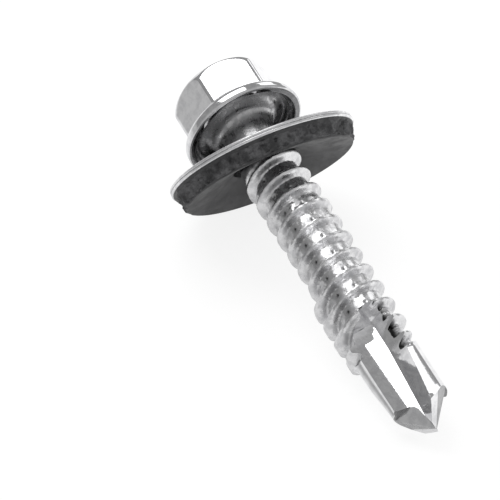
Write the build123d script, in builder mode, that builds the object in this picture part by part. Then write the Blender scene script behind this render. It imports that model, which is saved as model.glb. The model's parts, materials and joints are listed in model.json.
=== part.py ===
"""Self-drilling screw with a hexagon flanged head, lying at rest on its bonded sealing washer.

Three solids: the screw, forged and rolled from one blank, the dished metal washer, and the rubber
seal that is vulcanised to the washer.  Lengths are in millimetres and angles in degrees.

Stations along the screw are measured from the underside of the flange towards the drill point, and
stations through the washer from the edge of its metal rim towards the rubber face.  The screw's axis
lies in the XZ plane with the point towards +X.  The floor is Z = 0, and the screw touches it with
the lower cutting corner of its point and with the rubber rim of the washer that hangs on its neck.
"""

from build123d import *

import os
from math import acos, atan2, cos, degrees, hypot, radians, sin, tan

# Head
head_height = 5.2
hex_across_flats = 7.8
hex_corner_radius = 1.2
hex_turn = 5.9  # from the horizontal, about the axis, to the first corner
crown_diameter = 6.3  # flat on top of the head
crown_radius = 5.6

# Flange
flange_diameter = 10.3
rim_height = 0.85
flange_cone_height = 0.75
foot_step = 0.05  # flat ring outside the corners of the hexagon
flange_edge_bevel = 0.12
seat_ring_width = 0.6
groove_depth = 0.95
groove_floor_width = 0.6
boss_foot_diameter = 7.1
boss_diameter = 5.9
boss_recess = 0.35  # from the seat ring back to the end of the boss
neck_bevel = 0.25

# Shank and thread
shank_length = 32.4  # underside of the flange to the chisel edge
neck_diameter = 4.5
neck_length = 4.3
thread_major_diameter = 5.35
thread_root_diameter = 4.0
thread_pitch = 1.8
thread_base_width = 1.6
thread_crest_width = 0.55
thread_bite = 0.3  # overlap of the thread's base with the core
first_crest = 0.335  # end of the neck to the first full turn, on the parting line
neck_overlap = 0.8  # by which the ridge runs on over the neck
drill_overlap = 0.5  # and over the drill body
runout_length = 1.1
runout_allowance = 0.05  # by which the trimming cones clear the full crest
end_runout_length = 1.2
blend_length = 0.8  # thread root to neck, and thread root to drill body

# Drill point, as seen from the tip; turns are counted from the dies' parting line
parting_turn = 23.6  # from the horizontal, about the axis, to the parting line
drill_diameter = 4.7
drill_length = 8.0
land_flat_turn = 48.4  # to the middle of the flat on a land, behind the cutting lip
land_flat_depth = 0.12
land_flat_length = 6.6
flute_length = 11.4
flute_ramp_length = 3.5
flute_ramp = ((0.0, 1.9), (0.2, 1.4), (0.7, 0.7), (1.0, 0.0))  # share of the ramp, lift of the cutter
flute_lift_turn = 60.0  # towards which the cutter lifts out
flute_heel_turn = 150.0
lip_turn_top = 42.5  # edge of the rake face at the foot of the ramp
lip_turn_tip = 68.0  # and at the outer corner of the cutting lip
crease_top = (0.2, 0.52)
crease_tip = (-0.2, 0.42)
flute_hollow = 0.22  # of the curved wall below its chord
lip_drop = 1.32  # chisel edge back to the outer corner of a cutting lip
parting_drop = 2.26  # the same on the parting line, behind the lip
gash_length = 2.55  # clearance behind a cutting lip
gash_lean = 20.0  # fall of its floor, away from the lip
gash_floor = 0.26  # height of its floor beside the axis
gash_web = 0.02  # from the axis to its side, at the chisel edge
gash_web_angle = 8.6
gash_radius = 0.3
cutter_overrun = 1.0  # by which the cutters pass the chisel edge

# Bonded washer
washer_diameter = 16.0
metal_thickness = 0.55
metal_hole_diameter = 6.3
metal_dish = 0.8
metal_edge_bevel = 0.1
seal_hole_diameter = 5.43
seal_rim_height = 1.75
seal_edge_inset = 0.5  # from the edge of the metal in to the edge of the rubber face
seal_edge_bevel = 0.25
seal_edge_drop = 0.2
seal_hollow = 1.25
seal_face_bow = 0.2
washer_station = 2.9  # middle of the seal's bore, along the screw
neck_clearance = 0.08

# The washer tilts until the two ends of the seal's bore come up to the neck
bore_top = metal_thickness / 2 - metal_dish
bore_end = seal_rim_height - seal_hollow
bore_middle = (bore_top + bore_end) / 2
half_bore = (bore_end - bore_top) / 2
bore_radius = seal_hole_diameter / 2
bore_reach = hypot(bore_radius, half_bore)
tilt = degrees(acos((neck_diameter / 2 + neck_clearance) / bore_reach) - atan2(half_bore, bore_radius))

# The axis slopes until the rubber rim and the lower cutting corner stand on the floor
seal_edge_radius = washer_diameter / 2 - seal_edge_inset
rim_offset = seal_rim_height - seal_edge_drop - bore_middle
rim_station = washer_station + rim_offset * cos(radians(tilt)) - seal_edge_radius * sin(radians(tilt))
rim_reach = rim_offset * sin(radians(tilt)) + seal_edge_radius * cos(radians(tilt))
corner_station = shank_length - lip_drop
corner_reach = drill_diameter / 2 * sin(radians(lip_turn_tip + parting_turn))
slope = degrees(atan2(rim_reach - corner_reach, corner_station - rim_station))
axis_height = rim_reach * cos(radians(slope)) + rim_station * sin(radians(slope))
head_overhang = head_height * cos(radians(slope)) + crown_diameter / 2 * sin(radians(slope))
axis_back = (shank_length * cos(radians(slope)) - head_overhang) / 2

# Planes: x is to the side, y is up and z runs along the screw or through the washer
screw_plane = Plane(
    origin=(-axis_back, 0, axis_height),
    x_dir=(0, 1, 0),
    z_dir=(cos(radians(slope)), 0, -sin(radians(slope))),
)
screw_section = Plane(origin=screw_plane.origin, x_dir=screw_plane.z_dir, z_dir=(0, -1, 0))
washer_dip = radians(slope + tilt)
washer_plane = Plane(
    origin=screw_plane.offset(washer_station).origin,
    x_dir=(0, 1, 0),
    z_dir=(cos(washer_dip), 0, -sin(washer_dip)),
).offset(-bore_middle)
washer_section = Plane(origin=washer_plane.origin, x_dir=washer_plane.z_dir, z_dir=(0, -1, 0))
screw_axis = Axis(screw_plane.origin, screw_plane.z_dir)
washer_axis = Axis(washer_plane.origin, washer_plane.z_dir)


def tip_plane(turn):
    """Plane across the axis at the chisel edge, with its x at a turn from the horizontal."""
    across = screw_plane.x_dir * cos(radians(turn)) + screw_plane.y_dir * sin(radians(turn))
    return Plane(origin=screw_plane.offset(shank_length).origin, x_dir=across, z_dir=screw_plane.z_dir)


def on_drill(turn):
    """Point of the drill body's circle at a turn from the parting line."""
    return Vector(drill_diameter / 2, 0).rotate(Axis.Z, turn)


root_radius = thread_root_diameter / 2
major_radius = thread_major_diameter / 2
neck_radius = neck_diameter / 2
drill_radius = drill_diameter / 2

# Rolled thread: one helical ridge, its crest trimmed to nothing at both ends
thread_start = neck_length - neck_overlap
thread_end = shank_length - drill_length + drill_overlap
helix_start = neck_length + first_crest + thread_pitch * ((90 - parting_turn) / 360 - 1)
with BuildPart() as thread:
    with BuildLine():
        ridge_path = Helix(
            pitch=thread_pitch,
            height=thread_end + thread_pitch / 2 - helix_start,
            radius=root_radius,
            center=screw_plane.offset(helix_start).origin,
            direction=screw_plane.z_dir,
        )
    crest_height = major_radius - root_radius
    with BuildSketch(Plane(origin=ridge_path @ 0, x_dir=screw_plane.y_dir, z_dir=ridge_path % 0)):
        Polygon(
            (-thread_bite, -thread_base_width / 2),
            (crest_height, -thread_crest_width / 2),
            (crest_height, thread_crest_width / 2),
            (-thread_bite, thread_base_width / 2),
            align=None,
        )
    sweep(path=ridge_path, is_frenet=True)
    with BuildSketch(screw_section):
        Polygon(
            (thread_start, 0),
            (thread_start, root_radius),
            (thread_start + runout_length, major_radius + runout_allowance),
            (thread_end - end_runout_length, major_radius + runout_allowance),
            (thread_end, root_radius),
            (thread_end, 0),
            align=None,
        )
    revolve(axis=screw_axis, mode=Mode.INTERSECT)

# Flute cutter: from a ramp above the thread, down to full depth and out through the tip
point_plane = tip_plane(parting_turn)
heel = on_drill(flute_heel_turn)
full_depth_length = flute_length - flute_ramp_length
flute_lift = Vector(cos(radians(flute_lift_turn)), sin(radians(flute_lift_turn)))
flute_sections = [
    (flute_ramp_length * share - flute_length, flute_lift * rise) for share, rise in flute_ramp
]
flute_sections.append((cutter_overrun, Vector(0, 0)))
with BuildPart() as flute:
    for station, rise in flute_sections:
        lead = max(0, station + full_depth_length) / (full_depth_length - lip_drop)
        lip_turn = lip_turn_top + lead * (lip_turn_tip - lip_turn_top)
        crease = Vector(crease_top) + lead * (Vector(crease_tip) - Vector(crease_top))
        with BuildSketch(point_plane.offset(station)):
            with BuildLine():
                wall = ThreePointArc(
                    heel + rise,
                    (heel + crease) / 2 + rise - Vector(flute_hollow / 2, flute_hollow),
                    crease + rise,
                )
                rake = Line(wall @ 1, 2 * on_drill(lip_turn) - crease + rise)
                roof = drill_diameter + rise.Y
                outside = heel * (1 + cutter_overrun / drill_radius) + rise
                Polyline(rake @ 1, ((rake @ 1).X, roof), (outside.X, roof), outside, wall @ 0)
            make_face()
    loft(ruled=True)

# Cutter for the flat on a land
with BuildPart() as land_flat:
    with BuildSketch(tip_plane(parting_turn + land_flat_turn).offset(-land_flat_length)):
        with Locations((drill_radius - land_flat_depth, 0)):
            Rectangle(drill_radius, drill_diameter, align=(Align.MIN, Align.CENTER))
    extrude(amount=land_flat_length)

# Cutter for the clearance behind a lip: outline seen from the side, y towards the head
gash_plane = Plane(origin=point_plane.origin, x_dir=point_plane.x_dir, z_dir=point_plane.y_dir)
gash_floor_plane = Plane(
    origin=gash_plane.offset(gash_floor).origin,
    z_dir=gash_plane.z_dir * cos(radians(gash_lean)) - gash_plane.x_dir * sin(radians(gash_lean)),
)
web_slope = tan(radians(gash_web_angle))
with BuildPart() as gash:
    with BuildSketch(gash_plane):
        Polygon(
            (-gash_web + web_slope * cutter_overrun, -cutter_overrun),
            (-gash_web - web_slope * gash_length, gash_length),
            (-drill_diameter, gash_length),
            (-drill_diameter, -cutter_overrun),
            align=None,
        )
    extrude(amount=drill_diameter, both=True)
    split(bisect_by=gash_floor_plane, keep=Keep.TOP)
    upright = gash.edges().filter_by(Axis(gash_plane.origin, gash_plane.z_dir))
    fillet(upright.sort_by(Axis(gash_plane.origin, gash_plane.y_dir))[-2:], gash_radius)

# Each flank falls away from the chisel edge, along and across the parting line
flank_fall = parting_drop / drill_radius
lip_fall = (lip_drop - flank_fall * on_drill(lip_turn_tip).X) / on_drill(lip_turn_tip).Y
hex_corner_reach = (hex_across_flats / 2 - hex_corner_radius) / cos(radians(30)) + hex_corner_radius
flange_radius = flange_diameter / 2
groove_outer_radius = boss_foot_diameter / 2 + groove_floor_width
with BuildPart() as screw:
    # Head: hexagon with a rounded crown
    with BuildSketch(screw_plane.offset(-head_height)) as hexagon:
        RegularPolygon(hex_across_flats / 2, 6, major_radius=False, rotation=hex_turn)
        fillet(hexagon.vertices(), hex_corner_radius)
    extrude(amount=head_height - rim_height - flange_cone_height)
    crown_centre = (crown_radius**2 - (crown_diameter / 2) ** 2) ** 0.5 - head_height
    with Locations(screw_plane.offset(crown_centre)):
        Sphere(crown_radius, mode=Mode.INTERSECT)

    # Flange with its grooved underside, neck, thread root and drill blank, in one profile
    with BuildSketch(screw_section):
        Polygon(
            (-rim_height - flange_cone_height, 0),
            (-rim_height - flange_cone_height, hex_corner_reach + foot_step),
            (-rim_height, flange_radius - flange_edge_bevel),
            (-rim_height + flange_edge_bevel, flange_radius),
            (-flange_edge_bevel, flange_radius),
            (0, flange_radius - flange_edge_bevel),
            (0, flange_radius - seat_ring_width),
            (-groove_depth, groove_outer_radius),
            (-groove_depth, boss_foot_diameter / 2),
            (-boss_recess, boss_diameter / 2),
            (-boss_recess, neck_radius + neck_bevel),
            (-boss_recess + neck_bevel, neck_radius),
            (neck_length, neck_radius),
            (neck_length + blend_length, root_radius),
            (shank_length - drill_length - blend_length, root_radius),
            (shank_length - drill_length, drill_radius),
            (shank_length, drill_radius),
            (shank_length, 0),
            align=None,
        )
    revolve(axis=screw_axis)
    add(thread.part)

    # Drill point, the same on both sides of the chisel edge
    flank_lean = point_plane.x_dir * flank_fall + point_plane.y_dir * lip_fall
    for turn, side in ((0, 1), (180, -1)):
        add(land_flat.part.rotate(screw_axis, turn), mode=Mode.SUBTRACT)
        add(flute.part.rotate(screw_axis, turn), mode=Mode.SUBTRACT)
        flank = Plane(origin=point_plane.origin, z_dir=point_plane.z_dir + flank_lean * side)
        split(bisect_by=flank, keep=Keep.BOTTOM)
        add(gash.part.rotate(screw_axis, turn), mode=Mode.SUBTRACT)
screw.part.label = "screw"

half_metal = metal_thickness / 2
with BuildPart() as metal_washer:
    with BuildSketch(washer_section) as metal_profile:
        Polygon(
            (half_metal, washer_diameter / 2),
            (half_metal - metal_dish, metal_hole_diameter / 2),
            (-half_metal - metal_dish, metal_hole_diameter / 2),
            (-half_metal, washer_diameter / 2),
            align=None,
        )
        chamfer(metal_profile.vertices(), metal_edge_bevel)
    revolve(axis=washer_axis)
metal_washer.part.label = "metal_washer"

seal_face_radius = seal_edge_radius - seal_edge_bevel
with BuildPart() as rubber_seal:
    with BuildSketch(washer_section):
        Polygon(
            (bore_top, bore_radius),
            (bore_top, metal_hole_diameter / 2),
            (half_metal, washer_diameter / 2),
            (seal_rim_height - seal_edge_drop, seal_edge_radius),
            (seal_rim_height, seal_face_radius),
            ((seal_rim_height + bore_end) / 2 + seal_face_bow, (seal_face_radius + bore_radius) / 2),
            (bore_end, bore_radius),
            align=None,
        )
    revolve(axis=washer_axis)
rubber_seal.part.label = "rubber_seal"

os.makedirs("parts", exist_ok=True)
for piece in (screw, metal_washer, rubber_seal):
    export_step(piece.part, f"parts/{piece.part.label}.step")
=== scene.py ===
"""Self-drilling screw with a bonded sealing washer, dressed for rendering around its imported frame.

Lengths of the screw and the washer are in millimetres in their own local frames and are turned into
metres when a mesh is placed.  Stations run from the underside of the flange towards the drill
point.
"""

import json
import logging
import math
from dataclasses import dataclass
from enum import Enum

import bpy
import numpy as np
from mathutils import Matrix, Vector, noise

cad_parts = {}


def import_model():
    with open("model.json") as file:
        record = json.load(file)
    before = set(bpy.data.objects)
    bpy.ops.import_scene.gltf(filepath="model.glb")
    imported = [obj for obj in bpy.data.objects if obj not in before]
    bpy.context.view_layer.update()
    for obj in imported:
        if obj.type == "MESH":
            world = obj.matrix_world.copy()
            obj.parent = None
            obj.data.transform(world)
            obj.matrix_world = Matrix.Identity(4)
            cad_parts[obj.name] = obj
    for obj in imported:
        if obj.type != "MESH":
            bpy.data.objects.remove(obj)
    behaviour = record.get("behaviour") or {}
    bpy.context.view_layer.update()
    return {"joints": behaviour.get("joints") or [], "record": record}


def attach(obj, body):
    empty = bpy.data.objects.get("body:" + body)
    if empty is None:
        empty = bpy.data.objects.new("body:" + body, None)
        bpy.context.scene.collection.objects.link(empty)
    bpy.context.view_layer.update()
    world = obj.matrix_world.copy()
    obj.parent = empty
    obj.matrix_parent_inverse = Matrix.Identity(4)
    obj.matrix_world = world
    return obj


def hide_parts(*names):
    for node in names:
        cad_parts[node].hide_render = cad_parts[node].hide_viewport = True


MM = 0.001
LOG = logging.getLogger("screw")
Piece = bpy.types.Object
Socket = bpy.types.NodeSocket
Value = float | tuple[float, ...] | Socket


class Node(Enum):
    """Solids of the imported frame."""

    SCREW = "screw"
    METAL = "metal_washer"
    SEAL = "rubber_seal"


class Body(Enum):
    """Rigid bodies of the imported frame."""

    SCREW = "screw"
    WASHER = "washer"


class Slot(Enum):
    """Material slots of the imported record."""

    SCREW = "zinc_steel"
    METAL = "washer_steel"
    SEAL = "seal_rubber"


# ---------------------------------------------------------------------------------------------
# Small geometry helpers
# ---------------------------------------------------------------------------------------------


@dataclass(frozen=True)
class LocalFrame:
    """Frame of a turned piece: side and up lie across its axis, and along is the axis itself."""

    origin: Vector
    along: Vector

    @property
    def matrix(self) -> Matrix:
        """Matrix from millimetres in this frame to metres in the row's frame.

        Returns:
            The matrix.
        """
        side = Vector((0.0, 1.0, 0.0))
        up = self.along.cross(side).normalized()
        turn = Matrix((side, up, self.along)).transposed().to_4x4()
        return Matrix.Translation(self.origin) @ turn @ Matrix.Scale(MM, 4)

    def shifted(self, distance: float) -> "LocalFrame":
        """Same frame, moved along its axis by a distance in millimetres."""
        return LocalFrame(self.origin + self.along * distance * MM, self.along)


def smooth_step(value: np.ndarray, low: float, high: float) -> np.ndarray:
    """Rise from 0 at low to 1 at high with level ends.

    Args:
        value: Numbers to map.
        low: Value at which the rise starts.
        high: Value at which the rise ends.

    Returns:
        Shares between 0 and 1.
    """
    share = np.clip((value - low) / (high - low), 0.0, 1.0)
    return share * share * (3.0 - 2.0 * share)


def smooth_min(first: np.ndarray, second: np.ndarray, blend: float) -> np.ndarray:
    """Lower of two surfaces, with their edge rounded.

    Args:
        first: Heights of one surface.
        second: Heights of the other.
        blend: Width of the rounding.

    Returns:
        Heights of the joined surface.
    """
    share = np.clip(0.5 + 0.5 * (second - first) / blend, 0.0, 1.0)
    return second * (1.0 - share) + first * share - blend * share * (1.0 - share)


def smooth_max(first: np.ndarray, second: np.ndarray, blend: float) -> np.ndarray:
    """Higher of two surfaces, with their corner filled over a width of blend."""
    return -smooth_min(-first, -second, blend)


def turn_gap(turns: np.ndarray, centre: float) -> np.ndarray:
    """Distance in degrees between turns and a centre, the short way round."""
    return (turns - centre + 180.0) % 360.0 - 180.0


def rounded_path(corners: list[tuple[float, float, float]], steps: int) -> np.ndarray:
    """Polyline with rounded corners.

    Args:
        corners: Station, radius and corner rounding of each point; the ends have no rounding.
        steps: Segments in each rounded corner.

    Returns:
        Points of the path, one row each.
    """
    path = [np.array(corners[0][:2])]
    for before, corner, after in zip(corners, corners[1:], corners[2:]):
        centre = np.array(corner[:2])
        towards_start = np.array(before[:2]) - centre
        towards_end = np.array(after[:2]) - centre
        towards_start /= np.linalg.norm(towards_start)
        towards_end /= np.linalg.norm(towards_end)
        first = centre + towards_start * corner[2]
        last = centre + towards_end * corner[2]
        for step in range(steps + 1):
            share = step / steps
            path.append(
                first * (1 - share) ** 2 + centre * 2 * share * (1 - share) + last * share**2
            )
    path.append(np.array(corners[-1][:2]))
    return np.array(path)


def resampled(path: np.ndarray, longest: float) -> np.ndarray:
    """Path with points added to its long segments.

    Args:
        path: Points of the path, one row each.
        longest: Greatest length of a segment.

    Returns:
        Points of the finer path, one row each.
    """
    points = [path[0]]
    for start, end in zip(path, path[1:]):
        count = max(1, math.ceil(float(np.linalg.norm(end - start)) / longest))
        points += [start + (end - start) * (k / count) for k in range(1, count + 1)]
    return np.array(points)


def fractal(points: np.ndarray, size: float, octaves: int = 3) -> np.ndarray:
    """Smooth random heights, between about -1 and 1, at points in space.

    Args:
        points: Rows of three coordinates.
        size: Size of the largest lumps, in the same unit.
        octaves: Number of finer layers.

    Returns:
        One height for each row.
    """
    scaled = points / size
    return np.array([noise.fractal(Vector(p), 0.7, 2.0, octaves) for p in scaled])


@dataclass
class RoundGrid:
    """Closed surface made of rings about an axis, from one end to the other."""

    stations: np.ndarray
    radii: np.ndarray
    columns: int

    @property
    def turns(self) -> np.ndarray:
        """Turn of each column about the axis, in degrees from the side direction."""
        return np.arange(self.columns) * 360.0 / self.columns

    def points(self) -> np.ndarray:
        """Coordinates of every grid point.

        Returns:
            Rings by columns by three numbers.
        """
        angles = np.radians(self.turns)
        stations = np.broadcast_to(self.stations, self.radii.shape)
        return np.stack(
            [self.radii * np.cos(angles), self.radii * np.sin(angles), stations], axis=-1
        )

    def mesh(self, name: str, frame: LocalFrame, closed: bool) -> bpy.types.Mesh:
        """Mesh of the surface.

        Args:
            name: Name of the mesh.
            frame: Where the local millimetres lie in the row's frame.
            closed: Whether the last ring joins the first, as in a washer, or both ends are capped.

        Returns:
            The new mesh.
        """
        points = self.points()
        rings, columns = points.shape[:2]
        index = np.arange(rings * columns).reshape(rings, columns)
        lower = index if closed else index[:-1]
        upper = np.roll(index, -1, axis=0) if closed else index[1:]
        quads = np.stack(
            [lower, np.roll(lower, -1, axis=1), np.roll(upper, -1, axis=1), upper], axis=-1
        )
        faces = quads.reshape(-1, 4).tolist()
        if not closed:
            faces += [index[0][::-1].tolist(), index[-1].tolist()]
        mesh = bpy.data.meshes.new(name)
        mesh.from_pydata(points.reshape(-1, 3).tolist(), [], faces)
        mesh.transform(frame.matrix)
        mesh.update()
        return mesh


def linked(mesh: bpy.types.Mesh) -> Piece:
    """Object for a mesh, linked to the scene under the mesh's name.

    Args:
        mesh: The mesh.

    Returns:
        The new object.
    """
    piece = bpy.data.objects.new(mesh.name, mesh)
    bpy.context.scene.collection.objects.link(piece)
    return piece


def mark_points(mesh: bpy.types.Mesh, name: str, values: np.ndarray) -> None:
    """Give each point of a mesh a number under a name.

    Args:
        mesh: The mesh.
        name: Name of the attribute.
        values: One number for each point, in the order of the points.
    """
    attribute = mesh.attributes.new(name, "FLOAT", "POINT")
    attribute.data.foreach_set("value", values.ravel())


def prism(sections: list[np.ndarray], name: str, matrix: Matrix) -> Piece:
    """Closed solid through sections that have the same number of points.

    Args:
        sections: Outlines in order, each with one row of three coordinates for each point.
        name: Name of the object.
        matrix: Placement of the local coordinates.

    Returns:
        The new object.
    """
    count = len(sections[0])
    vertices = np.concatenate(sections)
    faces = []
    for level in range(len(sections) - 1):
        start = level * count
        for k in range(count):
            after = (k + 1) % count
            faces.append((start + k, start + after, start + count + after, start + count + k))
    faces.append(tuple(range(count))[::-1])
    faces.append(tuple(range(len(vertices) - count, len(vertices))))
    mesh = bpy.data.meshes.new(name)
    mesh.from_pydata(vertices.tolist(), [], faces)
    mesh.transform(matrix)
    mesh.update()
    return linked(mesh)


def cut(piece: Piece, cutters: list[Piece]) -> None:
    """Take the cutters away from a piece, one after another, and delete them.

    Args:
        piece: Object that is cut.
        cutters: Closed objects, in the order of the cuts.
    """
    for cutter in cutters:
        modifier = piece.modifiers.new(cutter.name, "BOOLEAN")
        modifier.operation = "DIFFERENCE"
        modifier.solver = "EXACT"
        modifier.object = cutter
        bpy.context.view_layer.update()
        evaluated = piece.evaluated_get(bpy.context.evaluated_depsgraph_get())
        result = bpy.data.meshes.new_from_object(evaluated)
        piece.modifiers.clear()
        old = piece.data
        piece.data = result
        bpy.data.meshes.remove(old)
        bpy.data.objects.remove(cutter)


def shade(piece: Piece, crease: float) -> None:
    """Shade a piece smooth.

    Args:
        piece: Object to shade.
        crease: Angle in degrees beyond which an edge stays crisp.
    """
    mesh = piece.data
    mesh.shade_smooth()
    mesh.set_sharp_from_angle(angle=math.radians(crease))


# ---------------------------------------------------------------------------------------------
# Finishes
# ---------------------------------------------------------------------------------------------


def grey(level: float, blue: float = 0.0) -> tuple[float, float, float, float]:
    """Neutral colour with a small share of blue."""
    return (level, level, level * (1.0 + blue), 1.0)


class Graph:
    """Shader nodes of a material, a world or a group, with short ways to add to them."""

    def __init__(self, tree: bpy.types.NodeTree) -> None:
        """Start with no nodes.

        Args:
            tree: Tree that gets the nodes.
        """
        tree.nodes.clear()
        self.tree = tree

    def node(self, kind: str, **values: object) -> bpy.types.Node:
        """New node.

        Args:
            kind: Blender's name of the node type.
            values: Properties of the node.

        Returns:
            The new node.
        """
        node = self.tree.nodes.new(kind)
        for key, value in values.items():
            setattr(node, key, value)
        return node

    def link(self, source: Socket, target: Socket) -> None:
        """Join an output to an input."""
        self.tree.links.new(source, target)

    def feed(self, target: Socket, value: Value) -> None:
        """Give an input its value.

        Args:
            target: The input.
            value: A value that stays on the input, or the output that it is joined to.
        """
        if isinstance(value, Socket):
            self.link(value, target)
        else:
            target.default_value = value

    def filled(self, node: bpy.types.Node, **values: Value) -> bpy.types.Node:
        """Node with its inputs given.

        Args:
            node: The node.
            values: What each input is fed, with an underscore for each space in its name.

        Returns:
            The same node.
        """
        for key, value in values.items():
            self.feed(node.inputs[key.replace("_", " ")], value)
        return node

    def maths(self, operation: str, *values: float | Socket) -> Socket:
        """Result of a sum on numbers.

        Args:
            operation: Blender's name of the operation.
            values: A number or an output for each input.

        Returns:
            The result.
        """
        node = self.node("ShaderNodeMath", operation=operation)
        for target, value in zip(node.inputs, values):
            self.feed(target, value)
        return node.outputs[0]

    def ramp(self, source: Socket, low: float, high: float) -> Socket:
        """Map a value to a share with soft ends.

        Args:
            source: Output that is mapped.
            low: Value that becomes 0.
            high: Value that becomes 1.

        Returns:
            The mapped share.
        """
        node = self.node("ShaderNodeMapRange", clamp=True, interpolation_type="SMOOTHSTEP")
        return self.filled(node, Value=source, From_Min=low, From_Max=high).outputs["Result"]

    def spread(self, source: Socket, at_zero: float, at_one: float) -> Socket:
        """Map a share evenly between two values.

        Args:
            source: Output that is mapped.
            at_zero: Value at a share of 0.
            at_one: Value at a share of 1.

        Returns:
            The mapped value.
        """
        node = self.node("ShaderNodeMapRange")
        return self.filled(node, Value=source, To_Min=at_zero, To_Max=at_one).outputs["Result"]

    def blended(self, share: Socket, first: Value, second: Value, way: str = "MIX") -> Socket:
        """Mix of two colours.

        Args:
            share: Output that gives the second colour's share.
            first: Colour, or the output that gives it, at a share of 0.
            second: Colour, or the output that gives it, at a share of 1.
            way: Blender's name of the way of mixing.

        Returns:
            The mixed colour.
        """
        node = self.node("ShaderNodeMix", data_type="RGBA", blend_type=way)
        return self.filled(node, Factor=share, A=first, B=second).outputs["Result"]

    def effect(self, group: bpy.types.NodeTree, **values: float) -> bpy.types.Node:
        """Node of a shared effect, with its inputs given as for any node."""
        return self.filled(self.node("ShaderNodeGroup", node_tree=group), **values)

    def bump(
        self,
        height: Socket,
        distance: float,
        strength: float | Socket = 1.0,
        below: Socket | None = None,
    ) -> Socket:
        """Relief in the shading.

        Args:
            height: Output that gives the height.
            distance: Height of the relief in millimetres.
            strength: Share of the relief.
            below: Normal that the relief lies on, or none for the bare surface.

        Returns:
            The new normal.
        """
        node = self.node("ShaderNodeBump")
        self.filled(node, Strength=strength, Distance=distance * MM, Height=height)
        if below is not None:
            self.link(below, node.inputs["Normal"])
        return node.outputs["Normal"]


class MaterialGraph(Graph):
    """New material with one Principled shader."""

    def __init__(self, name: str) -> None:
        """Make the material and its shader.

        Args:
            name: Name of the material.
        """
        self.material = bpy.data.materials.new(name)
        self.material.use_nodes = True
        super().__init__(self.material.node_tree)
        self.shader = self.node("ShaderNodeBsdfPrincipled")
        self.filled(self.node("ShaderNodeOutputMaterial"), Surface=self.shader.outputs[0])

    def named(self, attribute: str) -> Socket:
        """Value of a point attribute of the mesh."""
        return self.node("ShaderNodeAttribute", attribute_name=attribute).outputs["Fac"]


class NodeGroup(Graph):
    """Shader node group with named sockets, built once."""

    def __init__(self, name: str, inputs: dict[str, float], outputs: list[str]) -> None:
        """Make the group and its sockets.

        Args:
            name: Name of the group.
            inputs: Number inputs with their default values.
            outputs: Number outputs.
        """
        super().__init__(bpy.data.node_groups.new(name, "ShaderNodeTree"))
        for key, value in inputs.items():
            socket = self.tree.interface.new_socket(
                key, in_out="INPUT", socket_type="NodeSocketFloat"
            )
            socket.default_value = value
        for key in outputs:
            self.tree.interface.new_socket(key, in_out="OUTPUT", socket_type="NodeSocketFloat")
        self.source = self.node("NodeGroupInput")
        self.sink = self.node("NodeGroupOutput")

    def scaled_place(self, socket: str) -> Socket:
        """Place on the object, scaled by an input of the group.

        Args:
            socket: Name of the input.

        Returns:
            The scaled place.
        """
        place = self.node("ShaderNodeTexCoord").outputs["Object"]
        scale = self.node("ShaderNodeVectorMath", operation="SCALE")
        self.filled(scale, Vector=place, Scale=self.source.outputs[socket])
        return scale.outputs[0]


@dataclass(frozen=True)
class SurfaceEffects:
    """Node groups that the finishes share."""

    mottle: bpy.types.NodeTree
    grain: bpy.types.NodeTree
    brushing: bpy.types.NodeTree

    @classmethod
    def build(cls) -> "SurfaceEffects":
        """Make every shared group."""
        return cls(cls._mottle(), cls._grain(), cls._brushing())

    @staticmethod
    def _mottle() -> bpy.types.NodeTree:
        """Cloudy patches and lumps of a dipped or plated coat.

        Returns:
            The group's tree.
        """
        group = NodeGroup("plating mottle", {"Scale": 1.0}, ["Patch", "Height"])
        place = group.scaled_place("Scale")
        clouds = group.node("ShaderNodeTexNoise")
        group.filled(clouds, Vector=place, Scale=1.0, Detail=4.0, Roughness=0.62)
        patch = group.ramp(clouds.outputs[0], 0.36, 0.66)
        lumps = group.node("ShaderNodeTexVoronoi", feature="SMOOTH_F1")
        group.filled(lumps, Vector=place, Scale=2.6, Smoothness=0.7)
        lump_share = 0.45
        far = lumps.outputs["Distance"]
        total = group.maths("MULTIPLY_ADD", far, lump_share, clouds.outputs[0])
        group.filled(group.sink, Patch=patch, Height=total)
        return group.tree

    @staticmethod
    def _grain() -> bpy.types.NodeTree:
        """Fine grain with scattered pits.

        Returns:
            The group's tree.
        """
        group = NodeGroup("fine grain", {"Scale": 1.0, "Pit Share": 0.5}, ["Height"])
        place = group.scaled_place("Scale")
        fine = group.filled(group.node("ShaderNodeTexNoise"), Vector=place, Scale=1.0, Detail=5.0)
        cells = group.node("ShaderNodeTexVoronoi", feature="F1")
        group.filled(cells, Vector=place, Scale=0.35)
        rare = group.node("ShaderNodeSeparateColor")
        group.link(cells.outputs["Color"], rare.inputs[0])
        pit_share = group.source.outputs["Pit Share"]
        inside = group.maths("LESS_THAN", cells.outputs["Distance"], pit_share)
        chosen = group.maths("GREATER_THAN", rare.outputs[0], 0.8)
        pits = group.maths("MULTIPLY", inside, chosen)
        height = group.maths("SUBTRACT", fine.outputs[0], pits)
        group.link(height, group.sink.inputs["Height"])
        return group.tree

    @staticmethod
    def _brushing() -> bpy.types.NodeTree:
        """Marks drawn out along one direction, as rolling and grinding leave them.

        Returns:
            The group's tree.
        """
        group = NodeGroup(
            "drawn marks",
            {"Across": 1.0, "Along X": 0.1, "Along Y": 1.0, "Along Z": 1.0},
            ["Height"],
        )
        place = group.scaled_place("Across")
        stretch = group.node("ShaderNodeCombineXYZ")
        for axis in "XYZ":
            group.link(group.source.outputs[f"Along {axis}"], stretch.inputs[axis])
        drawn = group.node("ShaderNodeVectorMath", operation="MULTIPLY")
        group.link(place, drawn.inputs[0])
        group.link(stretch.outputs[0], drawn.inputs[1])
        marks = group.node("ShaderNodeTexNoise")
        group.filled(marks, Vector=drawn.outputs[0], Scale=1.0, Detail=3.0)
        group.link(marks.outputs[0], group.sink.inputs["Height"])
        return group.tree


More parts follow.
